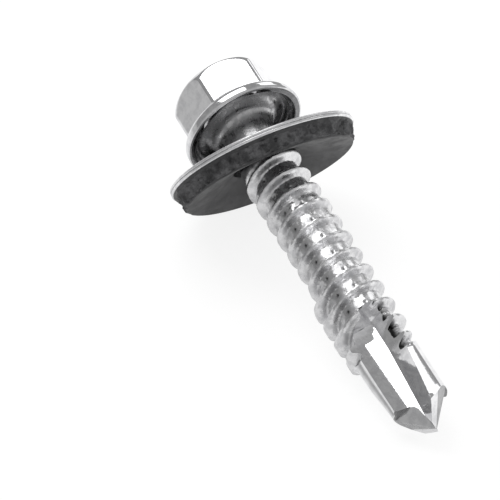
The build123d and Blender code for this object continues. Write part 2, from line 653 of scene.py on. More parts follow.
@dataclass(frozen=True)
class PlatedSteel:
    """Zinc plated steel: cloudy bright metal with a lumpy coat and painted shade in its hollows."""

    name: str
    bright: float = 0.84
    dull: float = 0.70
    coat_share: float = 0.88
    ground_share: float = 0.25
    smoothest: float = 0.2
    roughest: float = 0.42
    lump_scale: float = 1500.0
    lump_height: float = 0.009
    mark_height: float = 0.004
    drawn: tuple[float, float, float] = (0.12, 1.0, 1.0)
    pit_share: float = 0.22
    painted_shade_level: float = 0.03

    def material(self, effects: SurfaceEffects) -> bpy.types.Material:
        """Build the material.

        Args:
            effects: Node groups that the finishes share.

        Returns:
            The new material.
        """
        graph = MaterialGraph(self.name)
        inputs = graph.shader.inputs
        inputs["Metallic"].default_value = 1.0
        mottle = graph.effect(effects.mottle, Scale=self.lump_scale)
        grain = graph.effect(effects.grain, Scale=self.lump_scale * 4, Pit_Share=self.pit_share)
        marks = graph.effect(
            effects.brushing,
            Across=self.lump_scale * 3,
            Along_X=self.drawn[0],
            Along_Y=self.drawn[1],
            Along_Z=self.drawn[2],
        )
        patch = mottle.outputs["Patch"]
        coat = graph.named("coat")
        colour = graph.blended(patch, grey(self.bright, 0.01), grey(self.dull, 0.02))
        coated = graph.blended(coat, colour, grey(self.coat_share), "MULTIPLY")
        # Painted shade: the base colour darkens towards the painted shade level by the mesh's
        # painted shade attribute.
        dark = graph.blended(graph.named("painted_shade"), coated, grey(self.painted_shade_level))
        graph.link(dark, inputs["Base Color"])
        thick = graph.spread(coat, self.ground_share, 1.0)
        rough = graph.spread(patch, self.smoothest, self.roughest)
        graph.link(graph.maths("MULTIPLY", rough, thick), inputs["Roughness"])
        normal = graph.bump(mottle.outputs["Height"], self.lump_height, thick)
        normal = graph.bump(marks.outputs["Height"], self.mark_height, thick, normal)
        normal = graph.bump(grain.outputs["Height"], 0.25 * self.lump_height, thick, normal)
        graph.link(normal, inputs["Normal"])
        return graph.material


@dataclass(frozen=True)
class Rubber:
    """Black rubber, smooth where it was moulded or rough where it was torn."""

    name: str
    level: float = 0.035
    dusty: float = 0.075
    roughness: float = 0.42
    grain_scale: float = 2500.0
    grain_height: float = 0.01

    def material(self, effects: SurfaceEffects) -> bpy.types.Material:
        """Build the material.

        Args:
            effects: Node groups that the finishes share.

        Returns:
            The new material.
        """
        graph = MaterialGraph(self.name)
        inputs = graph.shader.inputs
        mottle = graph.effect(effects.mottle, Scale=self.grain_scale * 0.35)
        grain = graph.effect(effects.grain, Scale=self.grain_scale)
        patch = mottle.outputs["Patch"]
        colour = graph.blended(patch, grey(self.level, 0.06), grey(self.dusty, 0.03))
        graph.link(colour, inputs["Base Color"])
        rough = graph.spread(patch, self.roughness, self.roughness + 0.2)
        graph.link(rough, inputs["Roughness"])
        normal = graph.bump(grain.outputs["Height"], self.grain_height)
        graph.link(normal, inputs["Normal"])
        return graph.material


# ---------------------------------------------------------------------------------------------
# The screw
# ---------------------------------------------------------------------------------------------


@dataclass(frozen=True)
class ScrewSizes:
    """Sizes that the parts of the screw share, in millimetres and degrees."""

    head_height: float = 5.2
    neck_radius: float = 2.25
    neck_length: float = 4.3
    head_end: float = 3.4
    shank_length: float = 32.4
    drill_radius: float = 2.345
    parting_turn: float = 23.6
    columns: int = 192

    @property
    def turns(self) -> np.ndarray:
        """Turn of each column of the grids, in degrees from the side direction."""
        return np.arange(self.columns) * 360.0 / self.columns


@dataclass(frozen=True)
class TurnedPart:
    """Rings of one part of the blank, with its shares of painted shade and of coat at each point."""

    grid: RoundGrid
    painted_shade: np.ndarray
    coat: np.ndarray


@dataclass(frozen=True)
class Head:
    """Hexagon head with a dished crown, its flange and the grooved underside of that."""

    sizes: ScrewSizes
    across_flats: float = 7.8
    hex_rounding: float = 0.4
    hex_turn: float = 5.9
    crown_radius: float = 3.15
    crown_depth: float = 1.3
    crown_bulge: float = 0.22
    rim_height: float = 0.85
    cone_height: float = 0.75
    flange_radius: float = 5.15
    crown_step: float = 0.16
    flange_step: float = 0.1

    def hexagon(self, turns: np.ndarray) -> np.ndarray:
        """Radius of the rounded hexagon.

        Args:
            turns: Turns about the axis in degrees.

        Returns:
            One radius for each turn.
        """
        apothem = self.across_flats / 2
        from_flat = np.abs((turns - self.hex_turn) % 60.0 - 30.0)
        flat = apothem / np.cos(np.radians(from_flat))
        centre = (apothem - self.hex_rounding) / math.cos(math.radians(30.0))
        from_corner = np.radians(30.0 - from_flat)
        inside = np.maximum(self.hex_rounding**2 - (centre * np.sin(from_corner)) ** 2, 0.0)
        rounded = centre * np.cos(from_corner) + np.sqrt(inside)
        half_flat = (apothem - self.hex_rounding) * math.tan(math.radians(30.0))
        on_flat = apothem * np.tan(np.radians(from_flat)) <= half_flat
        return np.where(on_flat, flat, rounded)

    def crown(self, reach: float) -> np.ndarray:
        """Section of the dished end and of the hexagon's sides.

        Args:
            reach: Distance of the hexagon's corners from the axis.

        Returns:
            Station and radius of each point; beside the hexagon the radius lies outside it.
        """
        top = -self.sizes.head_height
        middle = (
            top + self.crown_depth / 2 - self.crown_bulge,
            (self.crown_radius + reach) / 2 + self.crown_bulge,
        )
        corners = [
            (top + 0.06, 0.01, 0.0),
            (top + 0.05, 2.2, 0.3),
            (top, 2.85, 0.2),
            (top, self.crown_radius, 0.12),
            (*middle, 0.55),
            (top + self.crown_depth, reach, 0.4),
            (top + self.crown_depth + 0.8, reach + 0.4, 0.0),
        ]
        crown = resampled(rounded_path(corners, 8), self.crown_step)
        side = np.linspace(crown[-1][0] + 0.12, -self.rim_height - self.cone_height - 0.3, 12)
        side = np.stack([side, np.full_like(side, reach + 1.0)], axis=-1)
        return np.concatenate([crown, side])

    def flange(self) -> np.ndarray:
        """Section of the flange, of the groove under it and of the start of the neck.

        Returns:
            Station and radius of each point.
        """
        rim = -self.rim_height
        corners = [
            (rim - self.cone_height - 0.2, 3.6, 0.0),
            (rim - 0.04, self.flange_radius - 0.16, 0.12),
            (rim + 0.22, self.flange_radius, 0.14),
            (-0.14, self.flange_radius, 0.13),
            (0.0, self.flange_radius - 0.16, 0.1),
            (0.0, self.flange_radius - 0.62, 0.07),
            (-0.9, 4.2, 0.4),
            (-0.95, 3.6, 0.45),
            (-0.45, 3.0, 0.5),
            (-0.2, 2.45, 0.4),
            (0.5, self.sizes.neck_radius, 0.3),
            (self.sizes.head_end, self.sizes.neck_radius, 0.0),
        ]
        return resampled(rounded_path(corners, 6), self.flange_step)

    def build(self) -> TurnedPart:
        """Rings of the head, down to the start of the neck.

        Returns:
            The part.
        """
        crown = self.crown(self.across_flats / 2 / math.cos(math.radians(30.0)))
        path = np.concatenate([crown, self.flange()])
        stations = np.repeat(path[:, :1], self.sizes.columns, axis=1)
        radii = np.repeat(path[:, 1:], self.sizes.columns, axis=1)
        flats = self.hexagon(self.sizes.turns)[None, :]
        upper = len(crown)
        radii[:upper] = smooth_min(radii[:upper], flats, 0.12)
        foot = (np.arange(len(path)) >= upper) & (path[:, 0] < -self.rim_height + 0.3)
        foot &= np.arange(len(path)) < upper + 30
        radii[foot] = smooth_max(radii[foot], np.broadcast_to(flats, radii[foot].shape), 0.14)

        # Painted shade: darker in the groove under the flange, on the outer ring of its underside,
        # and over the boss and the neck.
        groove = smooth_step(stations, -1.0, -0.88) * (1.0 - smooth_step(stations, -0.5, -0.3))
        groove = groove * (radii < 4.4) * (radii > 2.4) * 0.3
        ring = smooth_step(stations, -0.3, -0.02) * (radii > 4.2) * 0.15
        underside = smooth_step(stations, -1.0, -0.9) * (radii < 4.3)
        painted_shade = np.maximum(np.maximum(groove, ring), 0.3 * underside)
        return TurnedPart(RoundGrid(stations, radii, self.sizes.columns), painted_shade, underside)


@dataclass(frozen=True)
class Area:
    """Points of the shank: their stations, and the turns of their columns from the parting line."""

    stations: np.ndarray
    turns: np.ndarray

    def belt(self, centre: float, width: float | np.ndarray) -> np.ndarray:
        """Share that is 1 along one turn and fades over a width in degrees on both sides."""
        return np.exp(-((turn_gap(self.turns, centre)[None, :] / width) ** 2))

    def past(self, low: float, high: float) -> np.ndarray:
        """Share that rises from 0 to 1 between two stations."""
        return smooth_step(self.stations, low, high)


@dataclass(frozen=True)
class Shank:
    """Rolled thread and the drill blank below it, before the flutes are cut."""

    sizes: ScrewSizes
    root_radius: float = 2.0
    crest_radius: float = 2.635
    pitch: float = 1.8
    first_crest: float = 0.335
    half_crest: float = 0.07
    half_foot: float = 0.43
    swell_height: float = 0.66
    fill_height: float = 0.28
    lump_height: float = 0.024
    crumb_height: float = 0.012
    pit_depth: float = 0.1
    tear_depth: float = 0.6
    fold_depth: float = 0.12
    land_turns: tuple[float, ...] = (0.0, 46.0, 90.0, 150.0, 180.0, 226.0, 290.0, 360.0)
    land_starts: tuple[float, ...] = (24.8, 25.7, 25.0, 24.4, 24.1, 24.9, 24.7, 24.8)
    fine_end: float = 26.4
    fine_step: float = 0.075
    body_step: float = 0.16

    def area(self) -> Area:
        """Rings, close together along the thread and wider along the drill body.

        Returns:
            The points of the rings.
        """
        start = self.sizes.head_end + self.fine_step
        fine = np.arange(start, self.fine_end, self.fine_step)
        end = self.sizes.shank_length + 0.12
        path = np.concatenate([fine, np.arange(fine[-1] + self.body_step, end, self.body_step)])
        stations = np.repeat(path[:, None], self.sizes.columns, axis=1)
        return Area(stations, (self.sizes.turns - self.sizes.parting_turn) % 360.0)

    def swelling(self, area: Area) -> np.ndarray:
        """Shares of the metal that the flutes pushed out at the far side.

        Args:
            area: Points of the shank.

        Returns:
            One share for each point.
        """
        known, shares = (0.0, 24.0, 26.5, 29.0, 31.0), (1.0, 1.0, 0.85, 0.3, 0.0)
        thickness = np.interp(area.stations, known, shares)
        return area.past(16.0, 18.4) * thickness * area.belt(190.0, 30.0)

    def filling(self, area: Area) -> np.ndarray:
        """Shares of the thread's groove that the coat fills.

        Args:
            area: Points of the shank.

        Returns:
            One share for each point.
        """
        stretch = area.past(8.0, 9.6) * (1.0 - area.past(13.0, 14.6))
        early = 1.0 - 0.6 * area.past(14.0, 17.0)
        return np.maximum(0.85 * area.belt(188.0, 40.0) * early, area.belt(0.0, 30.0) * stretch)

    def from_crest(self, area: Area) -> np.ndarray:
        """Distances along the axis from the nearest crest of the thread.

        Args:
            area: Points of the shank.

        Returns:
            One distance for each point.
        """
        along = area.stations - self.sizes.neck_length - self.first_crest
        phase = along / self.pitch - area.turns[None, :] / 360.0
        return (phase - np.floor(phase + 0.5)) * self.pitch

    def ridge(
        self, area: Area, offset: np.ndarray, swollen: np.ndarray, filled: np.ndarray
    ) -> np.ndarray:
        """Section of the thread, wider where it is swollen, filled or bare of its coat.

        Args:
            area: Points of the shank.
            offset: Their distances from the nearest crest.
            swollen: Their shares of pushed out metal.
            filled: Their shares of coat in the groove.

        Returns:
            Shares of the thread's height.
        """
        bare = 1.0 - area.past(7.0, 10.0)
        crest = self.half_crest - 0.04 * bare + 0.3 * swollen + 0.12 * filled
        foot = self.half_foot + 0.09 * bare + 0.41 * swollen + 0.25 * filled
        share = np.clip((np.abs(offset) - crest) / (foot - crest), 0.0, 1.0)
        return 1.0 - share * share * (3.0 - 2.0 * share)

    def pits(self, area: Area, offset: np.ndarray) -> np.ndarray:
        """Small pits that the rolling dies left in the groove once in each turn.

        Args:
            area: Points of the shank.
            offset: Their distances from the nearest crest.

        Returns:
            Shares of the pits' depth.
        """
        total = np.zeros(offset.shape)
        for turn, place, radius in ((118.0, 0.84, 0.15), (72.0, -0.62, 0.1)):
            across = turn_gap(area.turns, turn)[None, :] * math.radians(1.0) * self.root_radius
            along = (offset - place + self.pitch / 2) % self.pitch - self.pitch / 2
            total += np.exp(-((across**2 + along**2) / radius**2))
        return np.clip(total, 0.0, 1.0)

    def tearing(self, area: Area) -> np.ndarray:
        """Pockets torn out above the rake face.

        Args:
            area: Points of the shank.

        Returns:
            Shares of the pockets' depth.
        """
        ragged = 9.0 + 5.0 * np.sin(area.stations * 9.1) * np.sin(area.stations * 3.7)
        start = 0.55 * area.past(20.7, 20.95) + 0.45 * area.past(22.0, 22.5)
        return area.belt(47.0, ragged) * start

    def folding(self, area: Area) -> np.ndarray:
        """Shares of the depth of the groove that the forging dies folded into the body."""
        return area.belt(165.0, 7.0) * area.past(23.9, 24.6) * (1.0 - area.past(29.8, 30.8))

    def painted_side_shade(self, area: Area, ridge: np.ndarray) -> np.ndarray:
        """Painted shade: a darker belt on one side of the thread and darker valleys beside it.

        Args:
            area: Points of the shank.
            ridge: Their shares of the thread's height.

        Returns:
            Shares of painted shade.
        """
        ramped = area.past(6.0, 12.0)
        belt = 0.2 * area.belt(120.0, 13.0) * ramped
        return belt + 0.34 * area.belt(158.0, 26.0) * (1.0 - ridge) ** 2 * ramped

    def build(self) -> TurnedPart:
        """Rings of the shank.

        Returns:
            The part.
        """
        sizes, area = self.sizes, self.area()
        neck = sizes.neck_length
        land = np.interp(area.turns % 360.0, self.land_turns, self.land_starts)[None, :]
        body = smooth_step(area.stations - land, -0.1, 0.08)
        threaded = area.past(3.9, 4.8) * (1.0 - body)
        slimming = area.past(neck - 0.1, neck + 0.7)
        radii = sizes.neck_radius + (self.root_radius - sizes.neck_radius) * slimming
        radii = radii + (sizes.drill_radius - self.root_radius) * body

        swollen, filled = self.swelling(area), self.filling(area)
        offset = self.from_crest(area)
        centre = area.stations - offset
        rise = smooth_step(centre, neck - 0.7, neck + 0.45)
        fall = 1.0 - smooth_step(centre - land, -0.75, -0.3)
        ridge = self.ridge(area, offset, swollen, filled)
        radii = radii + ridge * ((self.crest_radius - self.root_radius) * rise * fall)
        radii = radii + (1.0 - ridge) * self.fill_height * filled * threaded
        wave = ridge + (0.35 - ridge) * body
        radii = radii + self.swell_height * swollen * (0.45 + 0.55 * wave)

        points = RoundGrid(area.stations, radii, sizes.columns).points().reshape(-1, 3)
        lumps = fractal(points, 1.0, 3).reshape(radii.shape)
        crumbs = fractal(points + 30.0, 0.34, 2).reshape(radii.shape)
        radii = radii + (self.lump_height * lumps + self.crumb_height * crumbs) * threaded

        pits = self.pits(area, offset) * threaded
        torn = self.tearing(area) * (1.0 - body) * (1.0 - 0.9 * ridge)
        folded = self.folding(area)
        radii = radii - self.pit_depth * pits
        radii = radii - self.tear_depth * torn - self.fold_depth * folded
        # Painted shade: the torn pockets, the pits, the folded groove and the side belt are darkened
        # through the painted shade mask.
        painted_side_shade = self.painted_side_shade(area, ridge) * threaded
        painted_shade = np.clip(torn * 1.8 + 0.85 * pits + 0.6 * folded + painted_side_shade, 0.0, 1.0)
        return TurnedPart(RoundGrid(area.stations, radii, sizes.columns), painted_shade, threaded)


class Facet(Enum):
    """Material slots of the facets whose steel is darkened as painted shade."""

    PAINTED_SHADE_END = 1
    PAINTED_SHADE_RELIEF = 2


@dataclass(frozen=True)
class DrillPoint:
    """Cutters that turn the blank's end into a drill point, for two turns half a circle apart.

    Stations are measured from the chisel edge here, x lies at a turn from the parting line, and
    each cutter takes the turn of its own half about the axis in degrees.
    """

    sizes: ScrewSizes
    frame: LocalFrame
    land_flat_turn: float = 48.4
    land_flat_depth: float = 0.12
    land_flat_start: float = -6.6
    flute_length: float = 11.4
    ramp_stations: tuple[float, ...] = (-11.4, -11.2, -11.0, -10.8)
    ramp_lifts: tuple[float, ...] = (1.9, 1.1, 0.45, 0.0)
    ramp_end: float = -7.4
    heel_stations: tuple[float, ...] = (-10.7, -10.55, -10.35, -9.95, -9.2)
    heel_turns: tuple[float, ...] = (96.0, 118.0, 133.0, 144.0, 150.0)
    full_station: float = -7.9
    lip_turn_top: float = 42.5
    lip_turn_tip: float = 68.0
    crease_top: tuple[float, float] = (0.2, 0.52)
    crease_tip: tuple[float, float] = (-0.2, 0.42)
    flute_hollow: float = 0.13
    lip_drop: float = 1.32
    parting_drop: float = 2.26
    gash_length: float = 2.55
    gash_lean: float = 20.0
    gash_floor: float = 0.12
    gash_rise: float = 0.22
    gash_web: float = 0.02
    gash_web_angle: float = 8.6
    relief_turn: float = 43.0
    relief_angle: float = 7.0
    overrun: float = 1.0
    block_size: float = 6.0

    def tip_matrix(self, turn: float) -> Matrix:
        """Placement at the chisel edge, with x at a turn from the parting line."""
        turned = Matrix.Rotation(math.radians(self.sizes.parting_turn + turn), 4, "Z")
        return self.frame.shifted(self.sizes.shank_length).matrix @ turned

    def on_drill(self, turn: float) -> np.ndarray:
        """Point of the drill body's circle at a turn from the parting line."""
        angle = math.radians(turn)
        return self.sizes.drill_radius * np.array([math.cos(angle), math.sin(angle)])

    def flute_section(self, station: float) -> np.ndarray:
        """Outline of a flute's cutter.

        Args:
            station: Station of the outline.

        Returns:
            Points of the outline, one row each.
        """
        lead = max(0.0, station - self.full_station) / (-self.full_station - self.lip_drop)
        rise = np.array([0.0, float(np.interp(station, self.ramp_stations, self.ramp_lifts))])
        top, tip = np.array(self.crease_top), np.array(self.crease_tip)
        crease = top + lead * (tip - top)
        lip = self.on_drill(self.lip_turn_top + lead * (self.lip_turn_tip - self.lip_turn_top))
        heel = self.on_drill(float(np.interp(station, self.heel_stations, self.heel_turns)))
        hollow = self.flute_hollow * float(np.linalg.norm(heel - crease)) / 2.2
        middle = (heel + crease) / 2 - np.array([hollow / 2, hollow])
        control = 2 * middle - (heel + crease) / 2
        steps, roof = 24, 5.5
        outline = []
        for step in range(steps + 1):
            t = step / steps
            outline.append(heel * (1 - t) ** 2 + control * 2 * t * (1 - t) + crease * t * t)
        face_end = 2 * lip - crease
        outside = heel * 1.7
        outline += [face_end, np.array([face_end[0], roof]), np.array([outside[0], roof]), outside]
        return np.array([[*(point + rise), station] for point in outline])

    def flute(self, turn: float) -> Piece:
        """Cutter of one flute.

        Args:
            turn: Turn of this half.

        Returns:
            The cutter.
        """
        ramp_part = np.linspace(-self.flute_length, self.ramp_end, 33)
        rest = np.linspace(self.ramp_end + 0.5, self.overrun, 17)
        sections = [self.flute_section(float(s)) for s in np.concatenate([ramp_part, rest])]
        return prism(sections, f"flute_{turn:.0f}", self.tip_matrix(turn))

    def falls(self) -> tuple[float, float]:
        """Slopes of a flank.

        Returns:
            Its fall towards the parting line and its fall across it.
        """
        lip = self.on_drill(self.lip_turn_tip)
        along_fall = self.parting_drop / self.sizes.drill_radius
        return along_fall, (self.lip_drop - along_fall * lip[0]) / lip[1]

    def block_beyond(self, normal: tuple[float, float, float], name: str, turn: float) -> Piece:
        """Cutter that fills the room beyond a plane through the middle of the chisel edge.

        Args:
            normal: Direction across the plane.
            name: Name of the cutter.
            turn: Turn of this half.

        Returns:
            The cutter.
        """
        size = self.block_size
        low = []
        for x, y in ((-size, -size), (size, -size), (size, size), (-size, size)):
            low.append([x, y, -(normal[0] * x + normal[1] * y) / normal[2]])
        high = [[x, y, 5.0 * size] for x, y, _ in low]
        return prism([np.array(low), np.array(high)], f"{name}_{turn:.0f}", self.tip_matrix(turn))

    def flank(self, turn: float) -> Piece:
        """Cutter of one flank of the point."""
        return self.block_beyond((*self.falls(), 1.0), "flank", turn)

    def relief_normal(self) -> Vector:
        """Direction across the relief, whose plane turns about a line on the flank.

        Returns:
            The normal.
        """
        rim = self.on_drill(self.relief_turn)
        along_fall, across_fall = self.falls()
        line = Vector((rim[0], rim[1], -along_fall * rim[0] - across_fall * rim[1])).normalized()
        normal = Vector((along_fall, across_fall, 1.0)).normalized()
        lean = math.tan(math.radians(self.relief_angle))
        return (normal + line.cross(normal) * lean).normalized()

    def relief(self, turn: float) -> Piece:
        """Cutter of the steeper relief behind one flank."""
        return self.block_beyond(tuple(self.relief_normal()), "relief", turn)

    def land_flat(self, turn: float) -> Piece:
        """Cutter of the flat on one land.

        Args:
            turn: Turn of this half.

        Returns:
            The cutter.
        """
        near, far, half = self.sizes.drill_radius - self.land_flat_depth, self.block_size, 4.0
        outline = [(near, -half), (far, -half), (far, half), (near, half)]
        ends = (self.land_flat_start, 2.0)
        sections = [np.array([[x, y, z] for x, y in outline]) for z in ends]
        matrix = self.tip_matrix(turn + self.land_flat_turn)
        return prism(sections, f"land_flat_{turn:.0f}", matrix)

    def gash(self, turn: float) -> Piece:
        """Cutter of the clearance behind one cutting lip.

        Args:
            turn: Turn of this half.

        Returns:
            The cutter.
        """
        slope = math.tan(math.radians(self.gash_web_angle))
        lean = math.tan(math.radians(self.gash_lean))
        head, side = -self.gash_length, -5.0
        outline = [
            (-self.gash_web + slope * self.overrun, self.overrun),
            (-self.gash_web - slope * (self.gash_length - 0.5), head + 0.5),
            (-self.gash_web - slope * self.gash_length - 0.12, head + 0.16),
            (-self.gash_web - slope * self.gash_length - 0.45, head),
            (side, head),
            (side, self.overrun),
        ]
        floor = [self.gash_floor + lean * x - self.gash_rise * z for x, z in outline]
        low = np.array([[x, y, z] for (x, z), y in zip(outline, floor)])
        high = np.array([[x, self.block_size, z] for x, z in outline])
        return prism([low, high], f"gash_{turn:.0f}", self.tip_matrix(turn))

    def shape(self, piece: Piece) -> None:
        """Cut both halves of the point.

        Args:
            piece: The blank.
        """
        for turn in (0.0, 180.0):
            makers = (self.land_flat, self.flute, self.flank, self.relief, self.gash)
            cut(piece, [maker(turn) for maker in makers])

    def dress(self, piece: Piece) -> None:
        """Give the end walls of the gashes, the reliefs and the web walls steel darkened as painted
        shade.

        Args:
            piece: The cut screw, with its materials in the order of the facets' slots.
        """
        to_tip = self.tip_matrix(0.0).inverted()
        turned = to_tip.to_3x3()
        relieved = self.relief_normal()
        opposite = Vector((-relieved.x, -relieved.y, relieved.z))
        for polygon in piece.data.polygons:
            place = to_tip @ polygon.center
            normal = (turned @ polygon.normal).normalized()
            on_relief = max(normal.dot(relieved), normal.dot(opposite)) > 0.999
            on_web = abs(normal.x) > 0.95 and abs(place.x) < 0.6
            # Painted shade: the gash end walls, the reliefs and the web walls take the darker steel.
            if abs(place.z + self.gash_length) < 0.05 and normal.z > 0.98:
                polygon.material_index = Facet.PAINTED_SHADE_END.value
            elif place.z > -3.0 and on_relief or place.z > -self.gash_length and on_web:
                polygon.material_index = Facet.PAINTED_SHADE_RELIEF.value


@dataclass(frozen=True)
class Screw:
    """Self-drilling screw in one piece: head, shank and drill point."""

    sizes: ScrewSizes
    frame: LocalFrame

    @classmethod
    def from_record(cls, record: dict) -> "Screw":
        """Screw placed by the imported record.

        Args:
            record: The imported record, whose head_top mount gives the head's end and its axis.

        Returns:
            The screw, with its frame at the underside of the flange.
        """
        mount = next(m for m in record["mounts"] if m["name"] == "head_top")
        along = -Vector(mount["axis"]).normalized()
        sizes = ScrewSizes()
        return cls(sizes, LocalFrame(Vector(mount["pos_m"]), along).shifted(sizes.head_height))

    def blank(self) -> Piece:
        """Head, neck, thread and drill body in one closed mesh.

        Returns:
            The blank, with its painted shade and its coat as point attributes.
        """
        parts = (Head(self.sizes).build(), Shank(self.sizes).build())
        stations = np.concatenate([part.grid.stations for part in parts])
        radii = np.concatenate([part.grid.radii for part in parts])
        grid = RoundGrid(stations, radii, self.sizes.columns)
        mesh = grid.mesh("screw_body", self.frame, False)
        mark_points(mesh, "painted_shade", np.concatenate([part.painted_shade for part in parts]))
        mark_points(mesh, "coat", np.concatenate([part.coat for part in parts]))
        return linked(mesh)

    def build(self, effects: SurfaceEffects) -> Piece:
        """Make the whole screw and dress it.

        Args:
            effects: Node groups that the finishes share.

        Returns:
            The finished piece.
        """
        piece = self.blank()
        point = DrillPoint(self.sizes, self.frame)
        point.shape(piece)
        shade(piece, 32.0)
        piece.data.materials.clear()
        # The second and third finishes are plated steel darkened as painted shade, for the gash end
        # walls and for the reliefs and web walls.
        finishes = (
            PlatedSteel("zinc plated steel"),
            PlatedSteel("gash steel with painted shade", bright=0.28, dull=0.2, smoothest=0.8, roughest=1.6),
            PlatedSteel("relief steel with painted shade", bright=0.42, dull=0.34, smoothest=0.9, roughest=1.3),
        )
        for finish in finishes:
            piece.data.materials.append(finish.material(effects))
        point.dress(piece)
        LOG.info("screw: %d faces", len(piece.data.polygons))
        return piece


# ---------------------------------------------------------------------------------------------
# The bonded washer
# ---------------------------------------------------------------------------------------------


@dataclass(frozen=True)
class BondedWasher:
    """Dished metal washer with a rubber ring vulcanised to its underside."""

    frame: LocalFrame
    radius: float = 7.995
    thickness: float = 0.55
    hole_radius: float = 3.15
    dish: float = 0.8
    seal_hole_radius: float = 2.715
    rim_station: float = 1.55
    face_station: float = 1.75
    seal_edge_radius: float = 7.5
    seal_face_radius: float = 7.25
    face_bow: float = 0.2
    bore_end: float = 0.5
    columns: int = 256

    @classmethod
    def from_joint(cls, joint: dict) -> "BondedWasher":
        """Washer placed by the hinge that it turns on.

        Args:
            joint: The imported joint, whose place is the middle of the seal's bore.

        Returns:
            The washer, with its frame at the edge of its metal rim.
        """
        bore_middle = (cls.thickness / 2 - cls.dish + cls.bore_end) / 2
        middle = LocalFrame(Vector(joint["pos_m"]), Vector(joint["axis"]).normalized())
        return cls(middle.shifted(-bore_middle))

    def ring(self, path: np.ndarray) -> RoundGrid:
        """Closed ring with the given section.

        Args:
            path: Station and radius of each point of the section.

        Returns:
            The grid of the ring.
        """
        stations = np.repeat(path[:, :1], self.columns, axis=1)
        radii = np.repeat(path[:, 1:], self.columns, axis=1)
        return RoundGrid(stations, radii, self.columns)

    def metal(self, effects: SurfaceEffects) -> Piece:
        """Dished sheet washer with a slightly rolled edge.

        Args:
            effects: The shared node groups.

        Returns:
            The piece.
        """
        half = self.thickness / 2
        corners = [
            (-half - self.dish / 2, (self.radius + self.hole_radius) / 2, 0.0),
            (-half + 0.01, self.radius - 0.12, 0.06),
            (-half + 0.08, self.radius, 0.07),
            (-0.03, self.radius, 0.05),
            (0.01, self.radius - 0.08, 0.03),
            (0.05, self.radius, 0.05),
            (half - 0.05, self.radius, 0.07),
            (half, self.radius - 0.1, 0.05),
            (half - self.dish + 0.03, self.hole_radius + 0.2, 0.1),
            (half - self.dish - 0.06, self.hole_radius, 0.08),
            (-half - self.dish + 0.06, self.hole_radius, 0.08),
            (-half - self.dish, self.hole_radius + 0.2, 0.1),
            (-half - self.dish / 2, (self.radius + self.hole_radius) / 2, 0.0),
        ]
        path = resampled(rounded_path(corners, 5), 0.35)[:-1][::-1]
        grid = self.ring(path)
        mesh = grid.mesh("washer_sheet", self.frame, True)
        # Painted shade: darker over the face of the sheet that faces the head and along the fold of
        # its rim.
        back = (grid.stations < half - 0.1) * (1.0 - smooth_step(grid.radii, 7.4, 7.9)) * 0.6
        painted_crease_shade = np.exp(-(((grid.stations - 0.01) / 0.04) ** 2)) * (grid.radii > 7.8) * 0.4
        mark_points(mesh, "painted_shade", np.maximum(back, painted_crease_shade))
        piece = linked(mesh)
        shade(piece, 40.0)
        finish = PlatedSteel(
            "galvanised sheet",
            bright=0.86,
            dull=0.72,
            smoothest=0.3,
            roughest=0.5,
            ground_share=0.8,
        )
        piece.data.materials.append(finish.material(effects))
        LOG.info("washer sheet: %d faces", len(piece.data.polygons))
        return piece

    def seal(self, effects: SurfaceEffects) -> Piece:
        """Rubber ring with a ragged side band and a smooth face.

        Args:
            effects: The shared node groups.

        Returns:
            The piece.
        """
        half = self.thickness / 2
        corners = [
            (half - self.dish + 0.02, self.hole_radius + 0.3, 0.0),
            (half - 0.02, self.radius - 0.1, 0.05),
            (self.rim_station, self.seal_edge_radius, 0.12),
            (self.face_station, self.seal_face_radius, 0.12),
            (
                (self.face_station + self.bore_end) / 2 + self.face_bow,
                (self.seal_face_radius + self.seal_hole_radius) / 2,
                1.2,
            ),
            (self.bore_end, self.seal_hole_radius, 0.08),
            (half - self.dish, self.seal_hole_radius, 0.08),
            (half - self.dish, self.hole_radius, 0.05),
            (half - self.dish + 0.02, self.hole_radius + 0.3, 0.0),
        ]
        path = resampled(rounded_path(corners, 6), 0.11)[:-1]
        grid = self.ring(path)
        points = grid.points().reshape(-1, 3)
        coarse = fractal(points, 1.1, 4).reshape(grid.radii.shape)
        fine = fractal(points + 40.0, 0.28, 3).reshape(grid.radii.shape)
        stations = grid.stations
        band = smooth_step(stations, half + 0.02, half + 0.3)
        band = band * (1.0 - smooth_step(stations, self.rim_station - 0.05, self.face_station))
        band = band * (grid.radii > self.seal_face_radius - 0.05)
        cracks = np.clip(1.0 - np.abs(coarse) * 5.0, 0.0, 1.0)
        grid.radii = grid.radii - band * (0.12 + 0.18 * coarse + 0.11 * fine + 0.16 * cracks)
        piece = linked(grid.mesh("seal_ring", self.frame, True))
        shade(piece, 50.0)
        piece.data.materials.append(Rubber("moulded rubber").material(effects))
        torn = Rubber(
            "torn rubber",
            level=0.034,
            dusty=0.17,
            roughness=0.6,
            grain_scale=2600.0,
            grain_height=0.12,
        )
        piece.data.materials.append(torn.material(effects))
        chosen = band.reshape(-1) > 0.35
        for polygon in piece.data.polygons:
            if all(chosen[v] for v in polygon.vertices):
                polygon.material_index = 1
        LOG.info("seal: %d faces", len(piece.data.polygons))
        return piece


# ---------------------------------------------------------------------------------------------
# Stage
# ---------------------------------------------------------------------------------------------


@dataclass(frozen=True)
class Panel:
    """Soft area lamp that faces the screw; lengths in metres, power in watts.

    The width of the panel lies level, across the view.
    """

    name: str
    place: tuple[float, float, float]
    size: tuple[float, float]
    power: float

    def build(self) -> None:
        """Add the lamp to the scene."""
        data = bpy.data.lights.new(self.name, "AREA")
        data.shape = "RECTANGLE"
        data.size, data.size_y = self.size
        data.energy = self.power
        lamp = bpy.data.objects.new(self.name, data)
        away = Vector(self.place).normalized()
        side = Vector((0.0, 1.0, 0.0)) if abs(away.y) < 0.5 else Vector((0.0, 0.0, 1.0))
        side = (side - away * side.dot(away)).normalized()
        turn = Matrix((side.cross(away), side, away)).transposed().to_4x4()
        lamp.matrix_world = Matrix.Translation(Vector(self.place)) @ turn
        bpy.context.scene.collection.objects.link(lamp)


